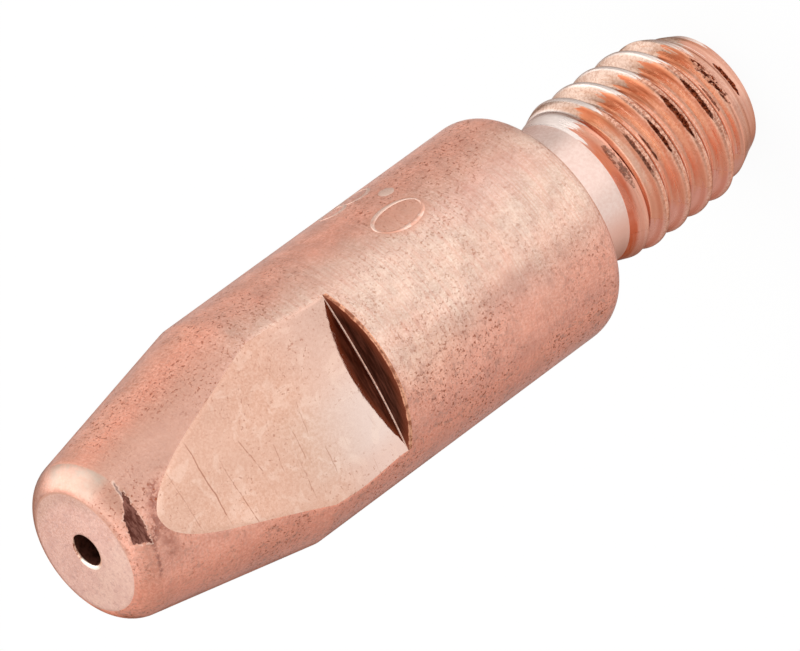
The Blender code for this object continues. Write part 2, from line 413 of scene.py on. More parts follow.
def add_body(out):
    """Body with the step's rows, which all start at its height, and the rounded shoulder."""
    out.line((BODY_RADIUS, TAPER_HEIGHT), (BODY_RADIUS, STEP_HEIGHT + STEP_GAP_ABOVE), ROWS["body"], BODY)
    step_rows = (
        (STEP_ROOT, ROWS["step root"], False),
        (STEP, ROWS["step"], False),
        (STEP_EDGE, ROWS["step edge"], True),
    )
    for kind, steps, with_end in step_rows:
        for step in range(steps + with_end):
            out.add(BODY_RADIUS, STEP_HEIGHT, kind, step / steps)
    top = STEP_HEIGHT - STEP_EDGE_ROUND - STEP_GAP_BELOW
    bottom = SHOULDER_HEIGHT + SHOULDER_ROUND_UP
    out.line((BODY_RADIUS, top), (BODY_RADIUS, bottom), ROWS["shaft"], SHAFT)
    inner = BODY_RADIUS - SHOULDER_ROUND_ACROSS
    across, up = SHOULDER_ROUND_ACROSS, SHOULDER_ROUND_UP
    out.arc((inner, bottom), across, up, 0, -math.pi / 2, ROWS["shoulder round"], SHOULDER)
    out.line((inner, SHOULDER_HEIGHT), (NECK_RADIUS, SHOULDER_HEIGHT), ROWS["shoulder"], SHOULDER)


def add_shank(out):
    """Neck, thread, end face and lead-in. The thread's radius comes later."""
    out.line((NECK_RADIUS, SHOULDER_HEIGHT), (NECK_RADIUS, NECK_BOTTOM), ROWS["neck"], NECK)
    rows = int((NECK_BOTTOM + (1 + THREAD_OVERLAP) * PITCH) / PITCH * ROWS_PER_PITCH)
    for step in range(rows + 1):
        out.add(0.0, NECK_BOTTOM + (THREAD_OVERLAP - step / ROWS_PER_PITCH) * PITCH, THREAD)
    out.line((END_RADIUS, 0.0), (LEAD_IN_RADIUS, 0.0), ROWS["end"], END)
    out.line((LEAD_IN_RADIUS, 0.0), (BORE_RADIUS, LEAD_IN_DEPTH), ROWS["lead-in"], LEAD_IN)


def tip_outline():
    """All rows, from the bore's bottom over the nose and down the outside to the lead-in."""
    out = Outline()
    add_nose(out)
    add_body(out)
    add_shank(out)
    return out.rows


def wander(height, humps):
    """Sum of smooth humps along the height."""
    return sum(depth * np.exp(-(((height - centre) / reach) ** 2)) for depth, centre, reach in humps)


def flat_distance(height, across):
    """A flat's distance from the axis. Its two long edges, at -1 and 1 across, wander a little."""
    upper = wander(height, UPPER_EDGE_HUMPS) * np.clip(across, 0.0, 1.0) ** 2
    lower = wander(height, LOWER_EDGE_HUMPS) * np.clip(-across, 0.0, 1.0) ** 2
    return FLAT_HALF + upper + lower


def edge_angle(radius, height, kind, side):
    """Angle from a flat's middle to one edge on each ring. The columns follow it."""
    nose = (kind == NOSE) | (kind == BODY)
    distance = flat_distance(np.where(nose, height, STEP_HEIGHT), side)
    blank = np.where(nose, np.maximum(radius, SMALLEST_RADIUS), BODY_RADIUS)
    angle = np.maximum(np.arccos(np.clip(distance / blank, -1.0, 1.0)), SMALLEST_EDGE_ANGLE)
    spread = smooth_step(FACE_BLEND_DEPTH, 0.0, NOSE_HEIGHT - height)
    face = (kind == FACE) | (kind == NOSE)
    angle[face] = angle[face] * (1 - spread[face]) + FACE_EDGE_ANGLE * spread[face]
    angle[(kind == BORE) | (kind == RIM)] = FACE_EDGE_ANGLE
    return angle


def column_angles(upper, lower):
    """Angles of all columns on each ring, crowded at the flats' edges. The last repeats the first."""
    s = np.linspace(-1, 1, FLAT_COLUMNS + 1)[:-1]
    share = 0.5 + 0.5 * (s + COLUMN_CROWDING * np.sin(math.pi * s) / math.pi)
    low = -np.tan(lower)[:, None]
    high = np.tan(upper)[:, None]
    flat = np.arctan(low + (high - low) * share[None, :])
    w = np.linspace(0, 1, SIDE_COLUMNS + 1)[:-1]
    along = w - COLUMN_CROWDING * np.sin(2 * math.pi * w) / (2 * math.pi)
    side = upper[:, None] + (math.pi - upper - lower)[:, None] * along[None, :]
    return np.concatenate([flat, side, flat + math.pi, side + math.pi, flat[:, :1] + 2 * math.pi], axis=1)


def nick_inset(height, azimuth):
    """How far a point lies inside the nick's sides, below 0 outside them. Azimuth is in degrees."""
    insets = [weight * (height - base - rise * azimuth) for weight, base, rise in NICK_SIDES]
    return np.minimum.reduce(insets)


def blank_radius(height):
    """Radius of the shank before the thread is cut."""
    heights = (0.0, END_CHAMFER, NECK_BOTTOM - NECK_CHAMFER, NECK_BOTTOM)
    return np.interp(height, heights, (END_RADIUS, CREST_RADIUS, CREST_RADIUS, NECK_RADIUS))


def thread_turns(height, angle):
    """Turns of the helix that pass below a point, from the groove's middle."""
    return (height - THREAD_PHASE) / PITCH - angle / (2 * math.pi)


def thread_radius(height, angle):
    """Radius of the thread: the blank less one 60 degree groove that climbs a pitch each turn."""
    turns = thread_turns(height, angle)
    away = np.abs(turns - np.round(turns)) * PITCH
    root_half = PITCH / 4 - (PITCH_RADIUS - ROOT_RADIUS) * FLANK_SLOPE
    rise = np.maximum(away - root_half, 0.0)
    rise = np.sqrt(rise**2 + ROOT_SOFTNESS**2) - ROOT_SOFTNESS
    lift = np.maximum(height - (NECK_BOTTOM - THREAD_RUNOUT), 0.0) / THREAD_RUNOUT
    groove = ROOT_RADIUS + rise / FLANK_SLOPE + lift * (CREST_RADIUS - ROOT_RADIUS)
    blank = blank_radius(height)
    return np.minimum(smooth_min(blank, groove, CREST_SOFTNESS) + CREST_LIFT, blank)


def crest_offset(height, angle):
    """Height above the nearest crest's middle, from -0.5 to 0.5 of a pitch."""
    turns = thread_turns(height, angle) - 0.5
    return turns - np.round(turns)


def flat_plane(z, k, angle, upper, lower):
    """Distance from the axis to the nearer flat's plane, along each column."""
    slope = np.tan(angle)
    across = np.where(slope > 0, slope / np.tan(upper)[:, None], slope / np.tan(lower)[:, None])
    cut = (k == NOSE) | (k == BODY)
    facing = np.maximum(np.abs(np.cos(angle)), SMALLEST_FACING)
    return flat_distance(np.where(cut, z, STEP_HEIGHT), across) / facing


def shape_step(r, z, k, part, angle, plane):
    """Root fillet, wall and broken edge of the step, all fading to nothing at the flat's sides."""
    slope = np.tan(angle)
    wall = np.maximum(BODY_RADIUS - plane, 0.0)
    fade = np.clip(wall / STEP_FADE, 0.0, 1.0)
    root = STEP_ROOT_ROUND * fade
    chips = np.sin(9 * slope + 0.7) * np.sin(23 * slope) + 0.6 * np.sin(51 * slope + 2.0)
    edge = STEP_EDGE_ROUND * fade * (1 + 0.35 * chips)
    inner = np.minimum(plane, BODY_RADIUS)
    theta = part * math.pi / 2
    r = np.where(k == STEP_ROOT, inner + root * (1 - np.cos(theta)), r)
    z = np.where(k == STEP_ROOT, z + root * (1 - np.sin(theta)), z)
    r = np.where(k == STEP, inner + root + (wall - root - edge) * part, r)
    r = np.where(k == STEP_EDGE, BODY_RADIUS - edge * (1 - np.sin(theta)), r)
    z = np.where(k == STEP_EDGE, z - edge * (1 - np.cos(theta)), z)
    in_step = (k == STEP_ROOT) | (k == STEP) | (k == STEP_EDGE)
    z = np.where(in_step, z - STEP_ROW_DROP * np.cumsum(in_step, axis=0), z)
    return r, z


def bend_rings(r, z, k, angle):
    """Heights with the rings near the step bent along the mill's round track."""
    half_width = math.sqrt(BODY_RADIUS**2 - FLAT_HALF**2)
    across = np.clip(r * np.sin(angle), -half_width, half_width)
    bend = STEP_ARC_RADIUS - np.sqrt(STEP_ARC_RADIUS**2 - across**2)
    near = 1 - smooth_step(0.0, STEP_SHIFT_REACH, np.abs(z - STEP_HEIGHT))
    return np.where((k >= BODY) & (k <= SHAFT), z + bend * near, z)


def tip_grid():
    """Radius, height and angle of every point, and the kind and turned radius of each row."""
    radius, height, kind, part = (np.array(values) for values in zip(*tip_outline()))
    upper = edge_angle(radius, height, kind, 1.0)
    lower = edge_angle(radius, height, kind, -1.0)
    angle = column_angles(upper, lower)
    columns = angle.shape[1]
    r, z, k, p = (np.repeat(values[:, None], columns, axis=1) for values in (radius, height, kind, part))

    plane = flat_plane(z, k, angle, upper, lower)
    r = np.where((k == NOSE) | (k == BODY), smooth_min(r, plane, FLAT_EDGE_SOFTNESS), r)
    r, z = shape_step(r, z, k, p, angle, plane)
    z = bend_rings(r, z, k, angle)

    # The thread's rows climb with the helix and end at its two rings
    thread = k == THREAD
    z = np.where(thread, np.clip(z + PITCH * angle / (2 * math.pi), 0.0, NECK_BOTTOM), z)
    r = np.where(thread, thread_radius(z, angle), r)

    azimuth = np.degrees((angle + math.pi) % (2 * math.pi) - math.pi)
    inset = np.where(k == NOSE, nick_inset(z, azimuth), -1.0)
    r = r - NICK_DEPTH * smooth_step(0.0, NICK_BANK, inset)
    return r, z, angle, kind, radius


def grid_points(r, z, angle, kind):
    """The grid's points in metres, with the bore's mouth and rim set a little off the axis."""
    off_axis = np.clip((z - OFFSET_BOTTOM) / (NOSE_HEIGHT - OFFSET_BOTTOM), 0.0, 1.0)
    rim = BORE_RADIUS + BORE_RIM
    face_share = np.clip((FACE_CREASE_RADIUS - r) / (FACE_CREASE_RADIUS - rim), 0.0, 1.0)
    rim_share = np.clip((rim - r) / BORE_RIM, 0.0, 1.0)
    on_hole = ((kind == BORE) | (kind == RIM))[:, None]
    hole_share = np.where(on_hole, 1.0, face_share * (kind == FACE)[:, None])
    x = r * np.cos(angle) + off_axis * (HOLE_OFFSET[0] * hole_share + BORE_SHIFT[0] * rim_share * on_hole)
    y = r * np.sin(angle) + off_axis * (HOLE_OFFSET[1] * hole_share + BORE_SHIFT[1] * rim_share * on_hole)
    return np.stack([x, y, z], axis=-1).reshape(-1, 3) * MM


def grid_faces(kind, blank, columns):
    """Corners of the grid's faces, and the material of each."""
    across = np.arange(columns - 1)
    in_flat = across % (FLAT_COLUMNS + SIDE_COLUMNS) < FLAT_COLUMNS
    faces = []
    materials = []
    for row in range(len(kind)):
        below = (row + 1) % len(kind)
        first = row * columns + across
        second = below * columns + across
        faces.append(np.stack([first, second, second + 1, first + 1], axis=-1))
        name = MATERIAL_OF[int(kind[row])]
        if kind[row] in (NOSE, BODY):
            cut = blank[row] > FLAT_HALF and blank[below] > FLAT_HALF
            materials.append(np.where(in_flat & cut, "milled", name))
        elif kind[row] in (STEP_ROOT, STEP, STEP_EDGE):
            materials.append(np.where(in_flat, name, "turned"))
        else:
            materials.append(np.full(columns - 1, name))
    return np.concatenate(faces), np.concatenate(materials)


def run_along(r, z):
    """Length along the outline from its first row, the same on all columns."""
    middle = r.shape[1] // 4
    run = np.zeros(len(r))
    run[1:] = np.cumsum(np.hypot(np.diff(r[:, middle]), np.diff(z[:, middle])))
    return np.repeat(run[:, None], r.shape[1], axis=1)


def weld(points, faces):
    """Join points that lie together, and drop faces that this closes."""
    keys = np.round(points / WELD_TOLERANCE).astype(np.int64)
    order, first, inverse = np.unique(keys, axis=0, return_index=True, return_inverse=True)
    joined = inverse.reshape(-1)[faces]
    kept_faces = []
    kept_rows = []
    for number, corners in enumerate(joined.tolist()):
        ring = [corner for place, corner in enumerate(corners) if corner != corners[place - 1]]
        if len(ring) >= 3:
            kept_faces.append(ring)
            kept_rows.append(number)
    return first, kept_faces, kept_rows


def tip_object(materials):
    """The tip as one object, with a material for each kind of surface and marks for the materials."""
    r, z, angle, kind, blank = tip_grid()
    points = grid_points(r, z, angle, kind)
    faces, names = grid_faces(kind, blank, r.shape[1])
    first, kept_faces, kept_rows = weld(points, faces)
    mesh = bpy.data.meshes.new("copper_tip")
    mesh.from_pydata(points[first].tolist(), [], kept_faces)
    order = sorted(materials)
    for name in order:
        mesh.materials.append(materials[name])
    index = {name: number for number, name in enumerate(order)}
    mesh.polygons.foreach_set("material_index", [index[str(name)] for name in names[kept_rows]])
    for name, values in (("run", run_along(r, z)), ("climb", crest_offset(z, angle))):
        attribute = mesh.attributes.new(name, "FLOAT", "POINT")
        attribute.data.foreach_set("value", values.reshape(-1)[first].astype(np.float32))
    mesh.update()
    mesh.shade_smooth()
    mesh.set_sharp_from_angle(angle=SHARP_ANGLE)
    return linked_object("copper_tip", mesh)


def linked_object(name, data):
    """A new object in the scene."""
    made = bpy.data.objects.new(name, data)
    bpy.context.scene.collection.objects.link(made)
    return made


def on_body(place, round_it, up_it, lift):
    """A point near the body's surface, moved round it and up it from a place, and lifted off it."""
    reach = BODY_RADIUS - MARK_SINK + lift
    azimuth = math.radians(place[0]) + round_it / BODY_RADIUS
    return reach * math.cos(azimuth), reach * math.sin(azimuth), place[1] + up_it


def add_ring(points, faces, place, half_width, half_height):
    """A closed thin tube round an ellipse on the body, half sunk in it."""
    first = len(points)
    for i in range(RING_SIDES):
        turn = 2 * math.pi * i / RING_SIDES
        middle = Vector((half_width * math.cos(turn), half_height * math.sin(turn)))
        outward = Vector((math.cos(turn) / half_width, math.sin(turn) / half_height)).normalized()
        for j in range(TUBE_SIDES):
            roll = 2 * math.pi * j / TUBE_SIDES
            width = MARK_STROKE * (1 + STROKE_WAVE * math.sin(2 * turn + 1))
            spot = middle + outward * width * math.cos(roll)
            points.append(on_body(place, spot.x, spot.y, MARK_RISE * math.sin(roll)))
    for i in range(RING_SIDES):
        for j in range(TUBE_SIDES):
            corners = [(i, j), (i + 1, j), (i + 1, j + 1), (i, j + 1)]
            faces.append([first + (a % RING_SIDES) * TUBE_SIDES + b % TUBE_SIDES for a, b in corners])


def add_dot(points, faces, place, radius):
    """A closed ball pressed into the body, flattened to the strokes' height."""
    first = len(points)
    for i in range(DOT_ROWS + 1):
        lift = math.pi * i / DOT_ROWS
        columns_here = 1 if i in (0, DOT_ROWS) else DOT_COLUMNS
        for j in range(columns_here):
            turn = 2 * math.pi * j / DOT_COLUMNS
            round_it = radius * math.sin(lift) * math.cos(turn)
            up_it = radius * math.sin(lift) * math.sin(turn)
            points.append(on_body(place, round_it, up_it, MARK_RISE * math.cos(lift)))
    last = len(points) - 1
    for j in range(DOT_COLUMNS):
        beside = (j + 1) % DOT_COLUMNS
        faces.append([first, first + 1 + j, first + 1 + beside])
        for i in range(DOT_ROWS - 2):
            start = first + 1 + i * DOT_COLUMNS
            below = start + DOT_COLUMNS
            faces.append([start + j, below + j, below + beside, start + beside])
        start = last - DOT_COLUMNS
        faces.append([start + j, last, start + beside])


def mark_object():
    """The stamped wire size, 0.8, as raised strokes."""
    points = []
    faces = []
    add_ring(points, faces, ZERO_PLACE, *ZERO_HALF)
    add_dot(points, faces, POINT_PLACE, POINT_RADIUS)
    for height, half_width, half_height in EIGHT_RINGS:
        add_ring(points, faces, (EIGHT_AZIMUTH, height), half_width, half_height)
    mesh = bpy.data.meshes.new("wire_size_mark")
    mesh.from_pydata([[value * MM for value in point] for point in points], [], faces)
    mesh.materials.append(mark_copper())
    mesh.shade_smooth()
    return linked_object("wire_size_mark", mesh)


class Value:
    """A number or colour that nodes work out. Formulas of values make the nodes they need."""

    def __init__(self, graph, socket):
        self.graph = graph
        self.socket = socket

    def __add__(self, other):
        return self.graph.math("ADD", self, other)

    def __sub__(self, other):
        return self.graph.math("SUBTRACT", self, other)

    def __rsub__(self, other):
        return self.graph.math("SUBTRACT", other, self)

    def __mul__(self, other):
        return self.graph.math("MULTIPLY", self, other)

    def __truediv__(self, other):
        return self.graph.math("DIVIDE", self, other)

    def __pow__(self, other):
        return self.graph.math("POWER", self, other)

    def __abs__(self):
        return self.graph.math("ABSOLUTE", self)

    def wobble(self, amount):
        """A noise from 0 to 1 as a shift to both sides."""
        return (self - 0.5) * amount

    def spread(self, low, high, to_low=0.0, to_high=1.0):
        """Map a range to another smoothly, with the ends held. Low may lie above high."""
        made = self.graph.node("ShaderNodeMapRange", interpolation_type="SMOOTHSTEP")
        self.graph.put(made.inputs["Value"], self)
        made.inputs["From Min"].default_value = low
        made.inputs["From Max"].default_value = high
        made.inputs["To Min"].default_value = to_low
        made.inputs["To Max"].default_value = to_high
        return Value(self.graph, made.outputs["Result"])

    def between(self, start, full, full_to, end):
        """1 from full to full_to, falling to 0 at start and at end."""
        return self.spread(start, full) * self.spread(end, full_to)

    def mix(self, first, second, blend="MIX"):
        """A blend of two colours by this share, from the first at 0 to the second at 1."""
        made = self.graph.node("ShaderNodeMix", data_type="RGBA", blend_type=blend)
        self.graph.put(made.inputs[0], self)
        for socket, value in ((made.inputs[6], first), (made.inputs[7], second)):
            self.graph.put(socket, (*value, 1.0) if isinstance(value, tuple) else value)
        return Value(self.graph, made.outputs[2])

    def tint(self, tone, colour):
        """A tone multiplied by a colour, as far as this share says."""
        return self.mix(tone, colour, "MULTIPLY")


class Graph:
    """The nodes of a material or a world, with short calls that take and give values or numbers."""

    def __init__(self, owner, shader):
        owner.use_nodes = True
        self.tree = owner.node_tree
        self.shader = self.tree.nodes[shader]

    def put(self, socket, value):
        """Link a value or another node's socket to an input, or set it to a number."""
        source = value.socket if isinstance(value, Value) else value
        if isinstance(source, bpy.types.NodeSocket):
            self.tree.links.new(source, socket)
        else:
            socket.default_value = source

    def node(self, kind, **settings):
        made = self.tree.nodes.new(kind)
        for name, value in settings.items():
            setattr(made, name, value)
        return made

    def math(self, operation, first, second=0.0):
        made = self.node("ShaderNodeMath", operation=operation)
        self.put(made.inputs[0], first)
        self.put(made.inputs[1], second)
        return Value(self, made.outputs[0])

    def highest(self, *values):
        return reduce(partial(self.math, "MAXIMUM"), values)

    def lowest(self, *values):
        return reduce(partial(self.math, "MINIMUM"), values)

    def vector(self, x, y, z):
        made = self.node("ShaderNodeCombineXYZ")
        for socket, value in zip(made.inputs, (x, y, z)):
            self.put(socket, value)
        return Value(self, made.outputs[0])


class Surface(Graph):
    """A material's nodes, with the shaded point's place on the tip in millimetres and degrees."""

    def __init__(self, name):
        self.material = bpy.data.materials.new(name)
        super().__init__(self.material, "Principled BSDF")

    @cached_property
    def place(self):
        """Object coordinates in millimetres."""
        scaled = self.node("ShaderNodeVectorMath", operation="SCALE")
        self.put(scaled.inputs[0], self.node("ShaderNodeTexCoord").outputs["Object"])
        self.put(scaled.inputs["Scale"], 1 / MM)
        return Value(self, scaled.outputs[0])

    @cached_property
    def parts(self):
        """X, Y and Z of the place."""
        split = self.node("ShaderNodeSeparateXYZ")
        self.put(split.inputs[0], self.place)
        return tuple(Value(self, output) for output in split.outputs)

    @cached_property
    def azimuth(self):
        x, y, z = self.parts
        return self.math("DEGREES", self.math("ARCTAN2", y, x))

    @cached_property
    def reach(self):
        """Distance from the axis."""
        x, y, z = self.parts
        return self.math("SQRT", x * x + y * y)

    def attribute(self, name):
        return Value(self, self.node("ShaderNodeAttribute", attribute_name=name).outputs["Fac"])

    def around(self, across, along):
        """Coordinates that draw a pattern out round the axis: across is its rate over the section."""
        x, y, z = self.parts
        run = self.attribute("run") * across
        return self.vector(run, x * along, y * along)

    def noise(self, scale, detail=2.0, roughness=0.5, distortion=0.0, over=None):
        """Noise from 0 to 1 over the place, or over other coordinates."""
        made = self.node("ShaderNodeTexNoise")
        self.put(made.inputs["Vector"], self.place if over is None else over)
        made.inputs["Scale"].default_value = scale
        made.inputs["Detail"].default_value = detail
        made.inputs["Roughness"].default_value = roughness
        made.inputs["Distortion"].default_value = distortion
        return Value(self, made.outputs["Fac"])

    def mottled(self, tones, rate=1.0):
        """Copper whose tone wanders at two sizes."""
        dark, middle, pale = tones
        large = self.noise(0.45 * rate, 3.0, 0.6)
        fine = self.noise(11.0 * rate, 3.0, 0.7)
        tone = large.spread(0.35, 0.65).mix(dark, middle)
        return fine.spread(0.36, 0.66).mix(tone, pale)

    def specks(self, rate, low, high, cover=0.45):
        """Small dark pits and dashes, thicker in some places than in others."""
        fine = self.noise(rate, 2.0, 0.6, 0.4)
        thick = self.noise(0.38).spread(cover - 0.12, cover + 0.14, 0.12, 1.0)
        return fine.spread(low, high) * thick

    def stroke(self, along, across, start, end, base, rise, width):
        """1 on a straight stroke: along runs from start to end, and across is base + rise * along."""
        line = along * rise + base
        aside = abs(across - line)
        middle = (start + end) / 2
        half = abs(end - start) / 2
        beyond = abs(along - middle)
        return aside.spread(width, 0.0) * beyond.spread(half, 0.7 * half)

    def zone(self, azimuths, heights=None):
        """1 between four azimuths, from one height to another where heights are given."""
        share = self.azimuth.between(*azimuths)
        if heights is None:
            return share
        return share * self.parts[2].spread(*heights)

    def oval(self, azimuth, height, reach_round, reach_along):
        """Squared distance from the middle of an oval on the body, 1 at its edge."""
        beside = (self.azimuth - azimuth) / reach_round
        above = (self.parts[2] - height) / reach_along
        return beside * beside + above * above

    def bump(self, height, depth):
        """Bumps of that depth in millimetres for heights from 0 to 1."""
        made = self.node("ShaderNodeBump")
        made.inputs["Distance"].default_value = depth * MM
        self.put(made.inputs["Height"], height)
        return made.outputs[0]

    def metal(self, colour, roughness, normal=None, grain=0.0, sheen=0.0):
        """Set the shader as bare metal. Grain draws its gloss out across turned marks, and sheen is the
        white gloss of a rubbed surface."""
        inputs = self.shader.inputs
        self.put(inputs["Base Color"], colour)
        self.put(inputs["Roughness"], roughness)
        inputs["Metallic"].default_value = 1.0
        inputs["Specular Tint"].default_value = EDGE_TINT
        self.put(inputs["Coat Weight"], sheen)
        inputs["Coat IOR"].default_value = SHEEN_IOR
        inputs["Coat Roughness"].default_value = SHEEN_ROUGHNESS
        if normal is not None:
            self.put(inputs["Normal"], normal)
        if grain > 0:
            tangent = self.node("ShaderNodeTangent", direction_type="RADIAL", axis="Z")
            self.put(inputs["Tangent"], tangent.outputs[0])
            inputs["Anisotropic"].default_value = grain
            inputs["Anisotropic Rotation"].default_value = 0.25
        return self.material


def rubbed_share(graph):
    """The body's front, painted paler as a highlight band up to a ragged border, and the nose a little."""
    ragged = graph.azimuth + graph.noise(0.6, 4.0, 0.6).wobble(32.0)
    share = abs(ragged - HIGHLIGHT_BAND_AZIMUTH).spread(54.0, 10.0)
    return share * graph.parts[2].spread(20.0, 23.0, 1.0, 0.25)


def patina(graph, rings, highlight_band):
    """Brown copper, painted paler in front as a highlight band, with grime, a dull nose, sides tinted as
    painted light and painted shade, and broad clouds.
    """
    clean_and_highlight = graph.mottled(HIGHLIGHT_BAND_TONES)
    # painted highlight: paler tones in a band on the body's front
    tone = highlight_band.mix(graph.mottled(BROWN_TONES), clean_and_highlight)
    tone = rings.spread(0.4, 0.7, 0.0, 0.4).mix(tone, TURNING_TONE)
    grime = graph.noise(0.7, 4.0, 0.65).spread(0.48, 0.62)
    tone = (grime * 0.2).mix(tone, GRIME_TONE)
    nose = graph.zone(NOSE_ZONE, (20.5, 23.0))
    tone = (nose * 0.6).mix(tone, NOSE_TONE)
    # the first two tints are painted shade and painted light on the body's sides
    for azimuths, heights, colour in BODY_TINTS:
        tone = graph.zone(azimuths, heights).tint(tone, colour)
    for oval, colour in CLOUDS:
        tone = graph.oval(*oval).spread(1.0, 0.0).tint(tone, colour)
    return tone


def body_dirt(graph, tone, pits, highlight_band):
    """Stains, thickest on the unlit side, pits, and the brown dirt that lies round the mark's ring."""
    stains = graph.specks(5.5, 0.54, 0.64, 0.40)
    unlit = graph.zone(STAINED_ZONE) * 0.35 + 0.28
    tone = (stains * unlit).mix(tone, STAIN_TONE)
    by_zero = graph.oval(*ZERO_DIRT).spread(1.3, 0.5, 0.0, 0.6)
    tone = by_zero.mix(tone, MARK_DIRT_TONE)
    return (pits * highlight_band.spread(0.0, 1.0, 0.85, 0.45)).mix(tone, PIT_TONE)


def nose_edge_wear(graph, tone):
    """The nose's edge: painted pale on one side as a highlight, and dark where it meets the face."""
    z = graph.parts[2]
    above = z - graph.azimuth * 0.003
    corner_highlight = above.spread(27.01, 27.09) * graph.zone(CORNER_HIGHLIGHT_ZONE, (27.95, 27.78))
    cloudy = graph.noise(3.0, 3.0, 0.6).spread(0.35, 0.65, 0.55, 0.9)
    tone = (corner_highlight * cloudy).mix(tone, CORNER_HIGHLIGHT_TONE)
    crease = z.spread(27.85, 27.925) * graph.azimuth.spread(-30.0, 0.0, 0.25, 1.0)
    broken = graph.noise(2.4, 3.0, 0.6).spread(0.38, 0.56, 0.3, 0.9)
    return (crease * broken).mix(tone, CREASE_TONE)


def nose_stains(graph, tone):
    """A broad stain, a smear and a drip beside the nick, each frayed by a noise."""
    for stroke, grain, fraying, strength, stain in NOSE_STAINS:
        share = graph.stroke(graph.azimuth, graph.parts[2], *stroke)
        frayed = graph.noise(*grain).spread(*fraying)
        tone = (share * frayed * strength).mix(tone, stain)
    return tone


def nick_shares(graph):
    """Inside of the nick, and the burr round it, as shares from 0 to 1."""
    sides = []
    for weight, base, rise in NICK_SIDES:
        height = graph.parts[2] - base - graph.azimuth * rise
        sides.append(height * weight)
    inset = graph.lowest(*sides) + graph.noise(7.0, 4.0, 0.75).wobble(0.3)
    inside = inset.spread(0.0, 0.03)
    burr = abs(inset + 0.02).spread(0.035, 0.0)
    return inside, burr * graph.noise(3.5).spread(0.45, 0.6)


def torn_metal(graph, tone, inside, burr):
    """The nick's inside, painted dark as a dark reflection, its bright burr, and the bright and dark scratch
    that runs on from it.
    """
    z = graph.parts[2]
    ragged = z + graph.noise(6.0, 3.0, 0.7).wobble(0.16)
    tail = graph.stroke(graph.azimuth, ragged, *TAIL)
    tone = graph.highest(burr * 0.7, tail).mix(tone, BURR_TONE)
    scratch = graph.stroke(graph.azimuth, ragged, *SCRATCH)
    tone = (scratch * 0.9).mix(tone, SCRATCH_TONE)
    tear = graph.vector(graph.azimuth * 0.012, z, 0.0)
    dark_reflection = graph.noise(9.0, 4.0, 0.75, over=tear).spread(0.38, 0.62).mix(*NICK_DARK_REFLECTION_TONES)
    return inside.mix(tone, dark_reflection)


def turned_copper():
    """Body and nose: dull turned copper with fine rings, specks, brown patina, a painted highlight band and
    the nick's inside painted dark as a dark reflection.
    """
    graph = Surface("turned_copper")
    rings = graph.noise(14.0, 3.0, 0.6, over=graph.around(1.0, 0.06))
    pits = graph.specks(10.5, 0.565, 0.66)
    highlight_band = rubbed_share(graph)
    inside, burr = nick_shares(graph)
    tone = body_dirt(graph, patina(graph, rings, highlight_band), pits, highlight_band)
    tone = nose_stains(graph, nose_edge_wear(graph, tone))
    tone = torn_metal(graph, tone, inside, burr)
    gloss = graph.noise(1.3, 3.0, 0.6).spread(0.3, 0.7, 0.36, 0.5)
    height = rings * 0.6 + pits * -0.8
    sheen = (1.0 - graph.highest(inside, pits)) * 0.6
    return graph.metal(tone, gloss, graph.bump(height, 0.006), grain=0.8, sheen=sheen)


def milled_tone(graph, above_step):
    """Cut copper, palest by the step, with blotches, a brighter far flat and a dull upper edge."""
    x, y, z = graph.parts
    tone = graph.mottled(MILLED_TONES)
    lower_half = y.spread(1.8, -1.6) * 0.45 + 0.4
    by_step = above_step.spread(3.4, 0.6) * lower_half
    tone = by_step.mix(tone, STEP_SIDE_TONE)
    blotch = graph.noise(1.5, 4.0, 0.6, 0.8).spread(0.52, 0.62)
    tone = (blotch * 0.35).mix(tone, BLOTCH_TONE)
    tone = x.spread(0.0, -1.0).tint(tone, FAR_FLAT_TINT)
    tone = y.spread(0.6, 2.2).tint(tone, UPPER_EDGE_TINT)
    low_middle = z.spread(22.5, 20.5) * y.between(0.9, -0.6, -1.8, -2.5)
    return low_middle.tint(tone, LOW_MIDDLE_TINT)


def score_share(graph, track, hairs):
    """The mill's deep scores, broken here and there, over faint hairlines."""
    y = graph.parts[1]
    scores = []
    for *line, strength in SCORES:
        scores.append(graph.stroke(y, track, *line) * strength)
    broken = graph.noise(4.0, 2.0, 0.6).spread(0.36, 0.5, 0.35, 1.0)
    faint = hairs.spread(0.6, 0.7) * y.spread(1.0, -1.5, 0.05, 0.22)
    return graph.highest(graph.highest(*scores) * broken, faint)


def milled_copper():
    """Wrench flats: paler cut copper with the mill's round marks, clean beside the step."""
    graph = Surface("milled_copper")
    x, y, z = graph.parts
    sag = y * y * (-0.5 / STEP_ARC_RADIUS)
    track = z + sag + graph.noise(1.1, 3.0, 0.6).wobble(0.22)
    above_step = track - STEP_HEIGHT
    hairs = graph.noise(9.0, 3.0, 0.6, over=graph.vector(track, y * 0.05, 0.0))
    pits = graph.specks(9.0, 0.61, 0.69)
    dark = graph.highest(score_share(graph, track, hairs), pits * 0.6)
    tone = dark.mix(milled_tone(graph, above_step), SCORE_TONE)
    clean_and_highlight = above_step.spread(1.4, 0.7)
    gloss = graph.noise(1.6, 3.0, 0.6).spread(0.3, 0.7, 0.15, 0.26)
    gloss = gloss * clean_and_highlight.spread(0.0, 1.0, 1.0, 0.35)
    height = hairs + dark * -0.8
    height = height * clean_and_highlight.spread(0.0, 1.0, 1.0, 0.25)
    return graph.metal(tone, gloss, graph.bump(height, 0.004))


